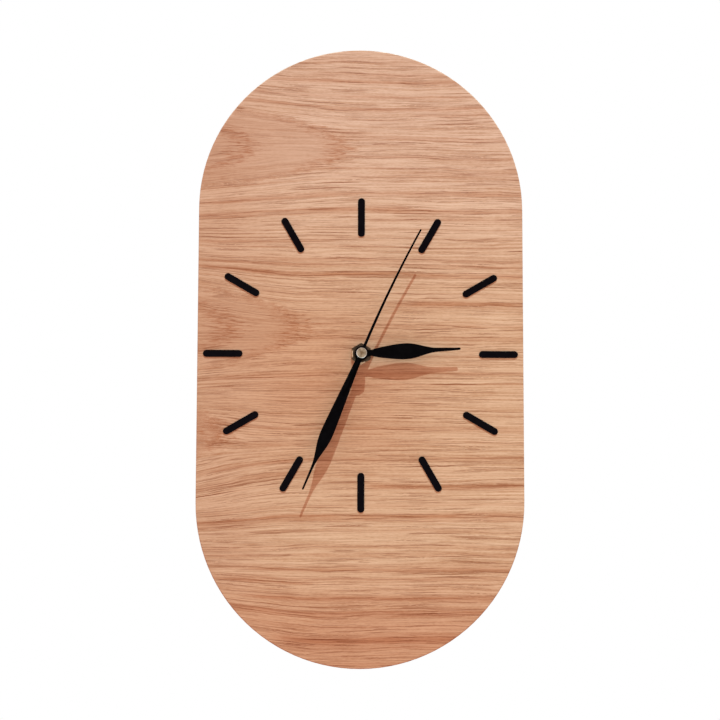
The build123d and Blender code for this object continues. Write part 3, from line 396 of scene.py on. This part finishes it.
def oak():
    material, graph = new_material("oiled_oak")
    point = graph.place_mm()
    x, y, z = graph.split(point)
    level = oak_level(graph, x, z, point)
    smooth, arcs = oak_tongues(graph, x, z, point)
    # Where the wood is smooth, its fine lines lie level and don't follow the bends
    flow = graph.join(x, y, level)
    unbent = graph.math("MULTIPLY_ADD", graph.math("SUBTRACT", z, level), smooth, level)
    fine = graph.join(x, y, unbent)

    late = oak_bands(graph, x, y, level)
    patchy = graph.noise(graph.grain(flow, PATCH_CELL), detail=3.0, rough=0.6)
    late = graph.times(late, graph.fit(patchy, *PATCH_RANGE))
    late = graph.times(late, graph.fit(smooth, *SMOOTH_LATE))
    stroke = graph.noise(graph.grain(fine, STROKE_CELL), detail=2.0, rough=0.6)
    late = graph.most(late, graph.times(arcs, graph.fit(stroke, *STROKE_RANGE)))

    layers = [(flow, LONG_FIBRE), (fine, SHORT_FIBRE), (fine, FLECK), (flow, STREAK), (flow, TONE)]
    waves = [graph.noise(graph.grain(way, cell), detail=detail) for way, (cell, detail, _) in layers]
    shares = [share for _, (_, _, share) in layers]
    light = graph.total(*[graph.times(wave, share) for wave, share in zip(waves, shares)])
    long_fibre, short_fibre, fleck = waves[:3]

    crowd = graph.noise(graph.grain(flow, CROWD_CELL), detail=2.0)
    crowd = graph.fit(graph.total(crowd, graph.times(late, CROWD_LATE)), *CROWD_RANGE)
    dashes = graph.times(streaks(graph, fine, *DASHES), graph.fit(fleck, *DASH_GAPS))
    cracks = streaks(graph, flow, *CRACKS)
    long_veins = graph.times(veins(graph, flow, *LONG_VEINS), LONG_VEIN_STRENGTH)
    short_veins = graph.times(veins(graph, fine, *SHORT_VEINS), SHORT_VEIN_STRENGTH)
    pores = graph.most(dashes, cracks, graph.most(long_veins, short_veins))
    pores = graph.times(pores, crowd)
    pores = graph.times(pores, graph.fit(smooth, *SMOOTH_PORES))

    base = graph.mix(graph.fit(z, *HIGH_RANGE), OAK_MID, OAK_HIGH)
    base = graph.mix(graph.fit(x, *LEFT_RANGE), base, OAK_LEFT)
    base = graph.mix(graph.fit(z, *LOW_RANGE), base, OAK_LOW)
    contrast = graph.fit(smooth, *SMOOTH_CONTRAST)
    tints = [
        (oak_red(graph, x, z), RED_TINT),
        (smooth, TONGUE_TINT),
        (graph.times(graph.fit(light, *DARK_RANGE, smooth=False), contrast), DARK_TINT),
        (graph.times(graph.fit(light, *PALE_RANGE, smooth=False), contrast), PALE_TINT),
        (graph.times(late, LATE_STRENGTH), LATE_TINT),
        (graph.times(pores, PORE_STRENGTH), PORE_TINT),
    ]
    for share, tint in tints:
        base = graph.mix(share, base, tint, "MULTIPLY")

    reliefs = zip((pores, short_fibre, long_fibre), OAK_RELIEF)
    height = graph.total(*[graph.times(part, share) for part, share in reliefs])
    graph.surface(
        Base_Color=base,
        Roughness=graph.fit(graph.total(short_fibre, pores), *OAK_ROUGH),
        Specular_IOR_Level=OAK_SPECULAR,
        Normal=graph.bump(height, OAK_DEPTH_MM, OAK_BUMP),
    )
    return material


# Other finishes: where most of a noise's values lie
NOISE_SPAN = (0.3, 0.7)

# Paint and plastic: the size of the mottling in specks, how light it gets, which part
# of the noise it takes up, and how far the roughness strays
MOTTLE_SPECKS = 30
MOTTLE_GAIN = 1.35
MOTTLE_LEAST = 0.001
MOTTLE_RANGE = (0.4, 0.65)
LACQUER_STRAY = (-0.05, 0.06)
LACQUER_BUMP = 0.5


def lacquer(name, colour, rough, specular, speck_mm, depth_mm):
    """Paint or moulded plastic: one colour with a fine tooth, mottled a little."""
    material, graph = new_material(name)
    point = graph.place_mm()
    tooth = graph.noise(graph.grain(point, (speck_mm,) * 3), detail=3.0, rough=0.6)
    mottle = graph.noise(graph.grain(point, (speck_mm * MOTTLE_SPECKS,) * 3), detail=2.0)
    lighter = [min(1.0, channel * MOTTLE_GAIN + MOTTLE_LEAST) for channel in colour[:3]]
    shade = graph.fit(graph.blend(tooth, mottle, 0.5), *MOTTLE_RANGE)
    graph.surface(
        Base_Color=graph.mix(shade, colour, (*lighter, 1.0)),
        Roughness=graph.fit(mottle, *NOISE_SPAN, *(rough + stray for stray in LACQUER_STRAY)),
        Specular_IOR_Level=specular,
        Normal=graph.bump(tooth, depth_mm, LACQUER_BUMP),
    )
    return material


# Bare metal: how dark its tarnish is, and the marks of tarnish and scratches
TARNISH = 0.75
TARNISH_CELL = (4.0, 4.0, 4.0)
TARNISH_RANGE = (0.4, 0.7)
SCRATCH_SHARE = 0.6
SCRATCH_RANGE = (0.35, 0.65)
SCRATCH_DEPTH_MM = 0.01
SCRATCH_BUMP = 0.4
METAL_STRAY = (-0.06, 0.1)


def metal(name, colour, rough, scratch_mm):
    """Bare metal with fine scratches one way and a light tarnish in patches."""
    material, graph = new_material(name)
    point = graph.place_mm()
    scratch = graph.noise(graph.grain(point, scratch_mm), detail=3.0, rough=0.6)
    patch = graph.noise(graph.grain(point, TARNISH_CELL), detail=3.0)
    dull = [channel * TARNISH for channel in colour[:3]]
    wear = graph.blend(scratch, patch, SCRATCH_SHARE)
    graph.surface(
        Base_Color=graph.mix(graph.fit(patch, *TARNISH_RANGE), colour, (*dull, 1.0)),
        Metallic=1.0,
        Roughness=graph.fit(wear, *SCRATCH_RANGE, *(rough + stray for stray in METAL_STRAY)),
        Normal=graph.bump(scratch, SCRATCH_DEPTH_MM, SCRATCH_BUMP),
    )
    return material


# Turned metal: what its colour is multiplied by where it is dull, how much of that
# comes from painted shade in the turning grooves with real wear, and how much from
# whole sectors of painted sheen, where the face's colour begins and is full as shares
# of the rim's radius, and how wide the painted highlight at the rim is
TURNED_DULL = (0.55, 0.52, 0.48, 1.0)
TURNED_GROOVE_SHADE_AND_WEAR = 0.25
PAINTED_SHEEN_SECTORS = 0.65
FACE_SHARES = (0.1, 0.7)
RIM_HIGHLIGHT_WIDTH_MM = 0.12
WEAR_CELL = (1.6, 1.6, 1.6)
WEAR_RANGE = (0.36, 0.66)
GROOVE_SHARE = 0.6
GROOVE_BUMP = 0.5
SHEEN_SECTOR_SCALE = 1.7
SHEEN_SECTOR_RANGE = (0.38, 0.62)
TURNED_STRAY = (-0.05, 0.08)
COAT_ROUGH = 0.08


def turned(name, hub, face, rim, rim_mm, rough, pitch_mm, groove_mm, anisotropy, coat):
    """Metal turned on a lathe about the clock's own axis, in three colours of painted
    reflection from the middle to the edge, which lies at rim_mm from the axis. The rim's
    colour is a painted highlight, and a painted sheen darkens the metal by bearing."""
    material, graph = new_material(name)
    point = graph.place_mm()
    x, _, z = graph.split(point)
    out = graph.math("SQRT", graph.total(graph.times(x, x), graph.times(z, z)))
    groove = graph.bands(out, scale=1 / pitch_mm, detail=3.0, rough=0.65)
    patch = graph.noise(graph.grain(point, WEAR_CELL), detail=2.0)
    bearing = graph.join(graph.math("DIVIDE", x, out), 0.0, graph.math("DIVIDE", z, out))
    # Whole sectors by bearing round the axis: a painted sheen for the turned face's reflections
    sector = graph.fit(graph.noise(bearing, scale=SHEEN_SECTOR_SCALE, detail=1.0), *SHEEN_SECTOR_RANGE)
    # Painted shade in the turning grooves, mixed with real wear in patches
    groove_shade_and_wear = graph.fit(graph.blend(groove, patch, GROOVE_SHARE), *WEAR_RANGE)
    dull = graph.total(graph.times(groove_shade_and_wear, TURNED_GROOVE_SHADE_AND_WEAR), graph.times(sector, PAINTED_SHEEN_SECTORS))
    # Painted reflection from the middle to the face, then a painted highlight at the rim
    colour = graph.mix(graph.fit(out, *(share * rim_mm for share in FACE_SHARES)), hub, face)
    colour = graph.mix(graph.fit(out, rim_mm - RIM_HIGHLIGHT_WIDTH_MM, rim_mm), colour, rim)
    tangent = graph.add("ShaderNodeTangent", direction_type="RADIAL", axis="Y").outputs[0]
    graph.surface(
        Base_Color=graph.mix(dull, colour, TURNED_DULL, "MULTIPLY"),
        Metallic=1.0,
        Roughness=graph.fit(groove, *NOISE_SPAN, *(rough + stray for stray in TURNED_STRAY)),
        Anisotropic=anisotropy,
        Coat_Weight=coat,
        Coat_Roughness=COAT_ROUGH,
        Tangent=tangent,
        Normal=graph.bump(groove, groove_mm, GROOVE_BUMP),
    )
    return material


# Zinc: its two tones, and its spangles and rolling marks
ZINC_DARK = srgb(172, 174, 177)
ZINC_PALE = srgb(200, 201, 203)
ZINC_RANGE = (0.25, 0.75)
ZINC_ROUGH = (0.30, 0.46)
SPANGLE_CELL = (2.2, 2.2, 2.2)
ROLL_CELL = (0.25, 0.25, 9.0)
ROLL_DEPTH_MM = 0.01
ROLL_BUMP = 0.5


def zinc():
    """Zinc-plated sheet: soft spangles and faint rolling marks."""
    material, graph = new_material("zinc_plate")
    point = graph.place_mm()
    spangle = graph.cells(graph.grain(point, SPANGLE_CELL))["Color"]
    roll = graph.noise(graph.grain(point, ROLL_CELL), detail=3.0)
    shade = graph.split(spangle)[0]
    pale = graph.fit(graph.blend(shade, roll, 0.5), *ZINC_RANGE)
    graph.surface(
        Base_Color=graph.mix(pale, ZINC_DARK, ZINC_PALE),
        Metallic=1.0,
        Roughness=graph.fit(shade, 0.0, 1.0, *ZINC_ROUGH),
        Normal=graph.bump(roll, ROLL_DEPTH_MM, ROLL_BUMP),
    )
    return material


# The dry cell: its colours, a pale painted sheen, and the faint waves of the shrunk sleeve
SLEEVE_BLUE = srgb(62, 92, 126)
SLEEVE_PALE = srgb(196, 198, 198)
SLEEVE_PAINTED_SHEEN = srgb(230, 232, 234)
CELL_STEEL = srgb(190, 190, 188)
SHRINK_CELL = (5.0, 1.4, 1.4)
SHRINK_DEPTH_MM = 0.03
SHRINK_BUMP = 0.4
PAINTED_SHEEN_RANGE = (0.35, 0.75, 0.0, 0.08)
SLEEVE_ROUGH = (0.24, 0.36)
# How far from the cell's ends the bare steel and the pale band reach, each as the two
# edges of a soft step in millimetres
BARE_LEFT = (1.3, 1.1)
BARE_RIGHT = (2.3, 2.1)
PALE_BAND = (13.2, 13.0)


def cell_sleeve():
    """A dry cell: a sleeve with print between bare steel ends, lying along x, with a pale painted
    sheen on the sleeve's waves.
    """
    material, graph = new_material("cell_sleeve")
    point = graph.place_mm()
    x = graph.split(point)[0]
    low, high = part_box("battery")
    left = low.x / MM
    right = high.x / MM
    shrink = graph.noise(graph.grain(point, SHRINK_CELL), detail=2.0)
    bare = graph.most(
        graph.fit(x, *(left + reach for reach in BARE_LEFT)),
        graph.fit(x, *(right - reach for reach in BARE_RIGHT)),
    )
    band = graph.fit(x, *(right - reach for reach in PALE_BAND))
    print_and_sheen = graph.mix(band, SLEEVE_BLUE, SLEEVE_PALE)
    # A pale painted sheen along the shrunk sleeve's waves
    print_and_sheen = graph.mix(graph.fit(shrink, *PAINTED_SHEEN_RANGE), print_and_sheen, SLEEVE_PAINTED_SHEEN)
    graph.surface(
        Base_Color=graph.mix(bare, print_and_sheen, CELL_STEEL),
        Metallic=bare,
        Roughness=graph.fit(shrink, *NOISE_SPAN, *SLEEVE_ROUGH),
        Normal=graph.bump(shrink, SHRINK_DEPTH_MM, SHRINK_BUMP),
    )
    return material


# The coil: a darker and a paler copper, painted as shade between the turns of wire and
# as highlight on them, and the patches of enamel in its own tone
COPPER_DARK = srgb(112, 58, 30)
COPPER_PALE = srgb(196, 112, 66)
COPPER_RANGE = (0.2, 0.8)
COPPER_ROUGH = (0.26, 0.40)
WIRE_SCALE = 3.2
WIRE_WOBBLE = 0.4
WIRE_SHADE_SHARE = 0.6
WIRE_DEPTH_MM = 0.05
WIRE_BUMP = 0.7
ENAMEL_CELL = (2.0, 2.0, 2.0)


def winding():
    """Fine enamelled wire, wound side by side along x."""
    material, graph = new_material("enamelled_wire")
    point = graph.place_mm()
    inputs = {"Vector": point, "Scale": WIRE_SCALE, "Distortion": WIRE_WOBBLE}
    wave = graph.add("ShaderNodeTexWave", inputs, wave_type="BANDS", bands_direction="X")
    wire = wave.outputs[1]
    patch = graph.noise(graph.grain(point, ENAMEL_CELL), detail=2.0)
    # Painted shade between the turns and painted highlight on them, mixed with the enamel's own
    # patches
    pale = graph.fit(graph.blend(wire, patch, WIRE_SHADE_SHARE), *COPPER_RANGE)
    graph.surface(
        Base_Color=graph.mix(pale, COPPER_DARK, COPPER_PALE),
        Metallic=1.0,
        Roughness=graph.fit(patch, *NOISE_SPAN, *COPPER_ROUGH),
        Normal=graph.bump(wire, WIRE_DEPTH_MM, WIRE_BUMP),
    )
    return material


oak_finish = oak()
marker_black = lacquer("marker_black", srgb(8, 5, 8), 0.62, 0.02, 0.12, 0.02)
hand_black = lacquer("hand_black", srgb(5, 4, 5), 0.46, 0.012, 0.10, 0.01)
# The boss: a brown middle and a tan face as painted reflection of warm surroundings, and a
# near-white rim as a painted highlight
turned_steel = turned(
    "turned_steel", srgb(124, 98, 72), srgb(166, 144, 119), srgb(236, 228, 218),
    rim_mm=2.85, rough=0.40, pitch_mm=0.12, groove_mm=0.02, anisotropy=0.85, coat=0.0,
)
# The nut: a near-black brown as painted reflection of a dark room, a little lighter at the rim as a
# painted highlight
turned_brass = turned(
    "turned_brass", srgb(60, 42, 26), srgb(60, 42, 26), srgb(68, 48, 28),
    rim_mm=5.2, rough=0.18, pitch_mm=0.20, groove_mm=0.02, anisotropy=0.2, coat=0.28,
)
rubber = lacquer("rubber", srgb(38, 38, 38), 0.80, 0.20, 0.20, 0.05)
case_black = lacquer("case_black", srgb(30, 30, 32), 0.55, 0.35, 0.16, 0.04)
plate_grey = lacquer("plate_grey", srgb(120, 122, 124), 0.50, 0.40, 0.20, 0.02)
wheel_white = lacquer("wheel_white", srgb(218, 216, 208), 0.42, 0.45, 0.25, 0.01)
knob_white = lacquer("knob_white", srgb(222, 221, 216), 0.45, 0.45, 0.22, 0.02)
steel = metal("bright_steel", srgb(190, 190, 192), 0.28, (0.2, 3.0, 0.2))
screw_steel = metal("screw_steel", srgb(150, 147, 140), 0.34, (0.3, 0.3, 0.3))
zinc_steel = zinc()
magnet = metal("sintered_magnet", srgb(110, 110, 114), 0.40, (0.3, 0.3, 0.3))
board_green = lacquer("board_green", srgb(34, 92, 58), 0.34, 0.5, 0.30, 0.02)
resin_black = lacquer("resin_black", srgb(24, 24, 26), 0.30, 0.45, 0.40, 0.03)
sleeve = cell_sleeve()
copper_wire = winding()

FINISH = {
    "oak_board": oak_finish,
    "hour_hand": hand_black, "minute_hand": hand_black, "second_hand": hand_black,
    "second_hand_boss": turned_steel, "hex_nut": turned_brass, "threaded_bush": turned_brass,
    "rubber_washer": rubber, "movement_case": case_black, "movement_cover": case_black,
    "middle_plate": plate_grey, "set_knob": knob_white, "second_arbor": steel,
    "coil_core": steel, "stator": steel, "positive_contact": steel, "negative_contact": steel,
    "quartz_crystal": steel, "keyhole_hanger": zinc_steel, "hanger_screws": screw_steel,
    "rotor_magnet": magnet, "coil_winding": copper_wire, "coil_bobbin": knob_white,
    "circuit_board": board_green, "chip_cap": resin_black, "battery": sleeve,
}
for name, piece in nodes.items():
    finish = marker_black if name.startswith("hour_marker") else FINISH.get(name, wheel_white)
    piece.data.materials.clear()
    piece.data.materials.append(finish)


# Signs moulded on the movement's back, in millimetres and degrees: arrows either way
# about the setting knob, the battery's poles and a raised line round the cover
SIGN_HEIGHT = 0.25
SIGN_SUNK = 0.10
SIGN_WIDTH = 0.7
ARROW_CLEAR = 2.0
ARROW_SPANS = [(78.0, 50.0), (102.0, 130.0)]
ARROW_HEAD = 2.2
ARC_STEPS = 16
POLE_ARM = 1.4
POLE_FROM_SIDE = 3.2
POLE_ABOVE_BAY = 2.6
LINE_INSET = 1.6
LINE_ABOVE_POLE = 3.2
LINE_ROUND = 2.0


def moulded(name, outlines):
    """Closed shapes in x and z, raised from the cover's back."""
    shape = bmesh.new()
    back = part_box("movement_cover")[1].y
    for outline in outlines:
        corners = [shape.verts.new((x * MM, back - SIGN_SUNK * MM, z * MM)) for x, z in outline]
        lift = bmesh.ops.extrude_face_region(shape, geom=[shape.faces.new(corners)])["geom"]
        raised = [item for item in lift if isinstance(item, bmesh.types.BMVert)]
        bmesh.ops.translate(shape, verts=raised, vec=(0.0, (SIGN_SUNK + SIGN_HEIGHT) * MM, 0.0))
    bmesh.ops.recalc_face_normals(shape, faces=shape.faces)
    mesh = bpy.data.meshes.new(name)
    shape.to_mesh(mesh)
    shape.free()
    mesh.materials.append(case_black)
    piece = bpy.data.objects.new(name, mesh)
    bpy.context.scene.collection.objects.link(piece)
    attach(piece, "clock")


def polar(centre, reach, angle):
    """The point at a distance and an angle in degrees from a centre."""
    turn = math.radians(angle)
    return (centre[0] + reach * math.cos(turn), centre[1] + reach * math.sin(turn))


def sweep(centre, reach, first, last):
    """Points along an arc, from one angle to another in degrees."""
    angles = [first + (last - first) * step / ARC_STEPS for step in range(ARC_STEPS + 1)]
    return [polar(centre, reach, angle) for angle in angles]


def arrow(centre, radius, first, last):
    """A bent arrow from one angle to another, with its head at the last."""
    inner, outer = radius - SIGN_WIDTH / 2, radius + SIGN_WIDTH / 2
    ahead = last + math.degrees(ARROW_HEAD / radius) * (1 if last > first else -1)
    head = [
        polar(centre, radius - ARROW_HEAD / 2, last),
        polar(centre, radius, ahead),
        polar(centre, radius + ARROW_HEAD / 2, last),
    ]
    return sweep(centre, inner, first, last) + head + sweep(centre, outer, last, first)


def minus_sign(x, z):
    """A bar with round ends."""
    thin = SIGN_WIDTH / 2
    reach = POLE_ARM - thin
    return sweep((x + reach, z), thin, -90, 90) + sweep((x - reach, z), thin, 90, 270)


def plus_sign(x, z):
    """Four arms with round ends."""
    thin = SIGN_WIDTH / 2
    reach = POLE_ARM - thin
    outline = []
    for facing in (0, 90, 180, 270):
        end = polar((x, z), reach, facing)
        outline += sweep(end, thin, facing - 90, facing + 90)
        outline.append(polar((x, z), thin * math.sqrt(2), facing + 45))
    return outline


def cover_arch(left, right, bottom, top):
    """A line round three sides of the cover, with rounded corners above."""
    outer = sweep((right - LINE_ROUND, top - LINE_ROUND), LINE_ROUND, 0, 90)
    outer += sweep((left + LINE_ROUND, top - LINE_ROUND), LINE_ROUND, 90, 180)
    inside = LINE_ROUND - SIGN_WIDTH
    inner = sweep((left + LINE_ROUND, top - LINE_ROUND), inside, 180, 90)
    inner += sweep((right - LINE_ROUND, top - LINE_ROUND), inside, 90, 0)
    feet = [(left, bottom), (left + SIGN_WIDTH, bottom)]
    return outer + feet + inner + [(right - SIGN_WIDTH, bottom), (right, bottom)]


def movement_signs():
    """All the signs, placed from the knob and the cover."""
    knob_low, knob_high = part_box("set_knob")
    centre = ((knob_low.x + knob_high.x) / 2 / MM, (knob_low.z + knob_high.z) / 2 / MM)
    radius = (knob_high.x - knob_low.x) / 2 / MM + ARROW_CLEAR
    moulded("setting_arrows", [arrow(centre, radius, *span) for span in ARROW_SPANS])

    low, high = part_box("movement_cover")
    left, right = low.x / MM, high.x / MM
    height = low.z / MM + POLE_ABOVE_BAY
    plus, minus = right - POLE_FROM_SIDE, left + POLE_FROM_SIDE
    moulded("battery_signs", [plus_sign(plus, height), minus_sign(minus, height)])
    arch = cover_arch(
        left + LINE_INSET, right - LINE_INSET, height + LINE_ABOVE_POLE, high.z / MM - LINE_INSET
    )
    moulded("cover_line", [arch])


movement_signs()

# Stage: a pale floor well below the clock, which fades to the white around it
FLOOR_BELOW = 0.40
FLOOR_HALF = 0.75
FLOOR_FADE = (0.30, 0.70)
FLOOR_DARK = srgb(240, 240, 239)
FLOOR_PALE = srgb(246, 246, 245)
FLOOR_SPECK = (0.02, 0.02, 0.02)
FLOOR_ROUGH = 0.8
FLOOR_SPECULAR = 0.2
WHITE = (1.0, 1.0, 1.0, 1.0)


def pale_floor():
    material, graph = new_material("pale_floor")
    point = graph.add("ShaderNodeTexCoord").outputs["Object"]
    x, y, _ = graph.split(point)
    out = graph.math("SQRT", graph.total(graph.times(x, x), graph.times(y, y)))
    speck = graph.noise(graph.grain(point, FLOOR_SPECK), detail=3.0)
    shader = graph.surface(
        Base_Color=graph.mix(graph.fit(speck, *NOISE_SPAN), FLOOR_DARK, FLOOR_PALE),
        Roughness=FLOOR_ROUGH,
        Specular_IOR_Level=FLOOR_SPECULAR,
    )
    glow = graph.add("ShaderNodeEmission", {"Color": WHITE, "Strength": 1.0})
    seen = graph.add("ShaderNodeLightPath").outputs["Is Camera Ray"]
    share = graph.times(seen, graph.fit(out, *FLOOR_FADE))
    blend = graph.add("ShaderNodeMixShader", {0: share, 1: shader.outputs[0], 2: glow.outputs[0]})
    output = [node for node in graph.tree.nodes if node.type == "OUTPUT_MATERIAL"][0]
    graph.tree.links.new(blend.outputs[0], output.inputs["Surface"])
    return material


def floor():
    mesh = bpy.data.meshes.new("floor")
    low = cad_box[0].z - FLOOR_BELOW
    corners = [
        (-FLOOR_HALF, -FLOOR_HALF), (FLOOR_HALF, -FLOOR_HALF),
        (FLOOR_HALF, FLOOR_HALF), (-FLOOR_HALF, FLOOR_HALF),
    ]
    mesh.from_pydata([(x, y, low) for x, y in corners], [], [(0, 1, 2, 3)])
    mesh.materials.append(pale_floor())
    plane = bpy.data.objects.new("floor", mesh)
    plane.visible_diffuse = False
    bpy.context.scene.collection.objects.link(plane)


floor()

# Light: a soft, warm room, a cool lamp from above and a little to the right, which
# together make white on the clock's face, and a softer lamp from behind
ROOM_COLOUR = (0.725, 0.52, 0.445, 1.0)
LAMP_COLOUR = (0.55, 0.98, 1.14)
LAMP_FROM = Vector((0.18, -1.0, 2.0))
BACK_LAMP_FROM = Vector((-0.5, 1.0, 0.6))
LAMP_POWER = 3.4
BACK_LAMP_POWER = 1.6
LAMP_ANGLE = math.radians(0.7)
BACK_LAMP_ANGLE = math.radians(12.0)
# Soft boxes for the metal at the hub, as (name, place, width and height, radiance)
SOFT_BOXES = [
    ("left_box", Vector((-0.80, -0.50, 0.06)), (0.22, 0.60), 11.0),
    ("low_box", Vector((0.03, -0.28, -0.42)), (0.40, 0.16), 7.0),
    ("high_left_box", Vector((-0.30, -0.75, 0.45)), (0.24, 0.24), 3.0),
    ("high_right_box", Vector((0.42, -0.75, 0.36)), (0.20, 0.20), 2.5),
]

world = bpy.data.worlds.new("white_room")
world.use_nodes = True
bpy.context.scene.world = world
room = Graph(world.node_tree)
path = room.add("ShaderNodeLightPath").outputs
seen = room.most(path["Is Camera Ray"], path["Is Glossy Ray"], path["Is Transmission Ray"])
tint = room.mix(seen, ROOM_COLOUR, WHITE)
backdrop = room.add("ShaderNodeBackground", {"Color": tint, "Strength": 1.0})
room.add("ShaderNodeOutputWorld", {"Surface": backdrop.outputs[0]})


def add_lamp(name, source, power, angle):
    """A far lamp that shines from the direction of source."""
    data = bpy.data.lights.new(name, "SUN")
    data.energy = power
    data.angle = angle
    data.color = LAMP_COLOUR
    lamp = bpy.data.objects.new(name, data)
    lamp.rotation_mode = "QUATERNION"
    lamp.rotation_quaternion = (-source).to_track_quat("-Z", "Y")
    lamp.visible_glossy = False
    bpy.context.scene.collection.objects.link(lamp)


def add_box(name, place, size, radiance):
    """A soft box that faces the clock's hub and shows only in reflections."""
    data = bpy.data.lights.new(name, "AREA")
    data.shape = "RECTANGLE"
    data.size, data.size_y = size
    data.energy = radiance * math.pi * size[0] * size[1]
    box = bpy.data.objects.new(name, data)
    box.location = place
    box.rotation_mode = "QUATERNION"
    box.rotation_quaternion = (-place).to_track_quat("-Z", "Y")
    box.visible_camera = False
    box.visible_diffuse = False
    bpy.context.scene.collection.objects.link(box)


for soft_box in SOFT_BOXES:
    add_box(*soft_box)
add_lamp("lamp", LAMP_FROM, LAMP_POWER, LAMP_ANGLE)
add_lamp("back_lamp", BACK_LAMP_FROM, BACK_LAMP_POWER, BACK_LAMP_ANGLE)

# Camera, below the clock's centre and looking up at it
CAMERA_DISTANCE = 0.615
CAMERA_BELOW = math.radians(3.8)
CAMERA_LEFT = math.radians(1.7)
CAMERA_LENS = 50.2
CAMERA_ROLL = math.radians(0.14)
SENSOR_WIDTH = 36.0
AIM_PX = (-1.1, -6.0)
AIM = Vector((AIM_PX[0] * PIXEL_MM * MM, 0.0, AIM_PX[1] * PIXEL_MM * MM))

face = Vector((0.0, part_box("oak_board")[0].y, 0.0))
camera_data = bpy.data.cameras.new("camera")
camera_data.lens = CAMERA_LENS
camera_data.sensor_width = SENSOR_WIDTH
camera = bpy.data.objects.new("camera", camera_data)
camera.rotation_mode = "QUATERNION"
level_distance = CAMERA_DISTANCE * math.cos(CAMERA_BELOW)
camera.location = face + Vector((
    -level_distance * math.sin(CAMERA_LEFT),
    -level_distance * math.cos(CAMERA_LEFT),
    -CAMERA_DISTANCE * math.sin(CAMERA_BELOW),
))
look = (face + AIM - camera.location).to_track_quat("-Z", "Y")
camera.rotation_quaternion = look @ Matrix.Rotation(CAMERA_ROLL, 3, "Z").to_quaternion()
bpy.context.scene.collection.objects.link(camera)
bpy.context.scene.camera = camera
bpy.context.scene.view_settings.view_transform = "Standard"
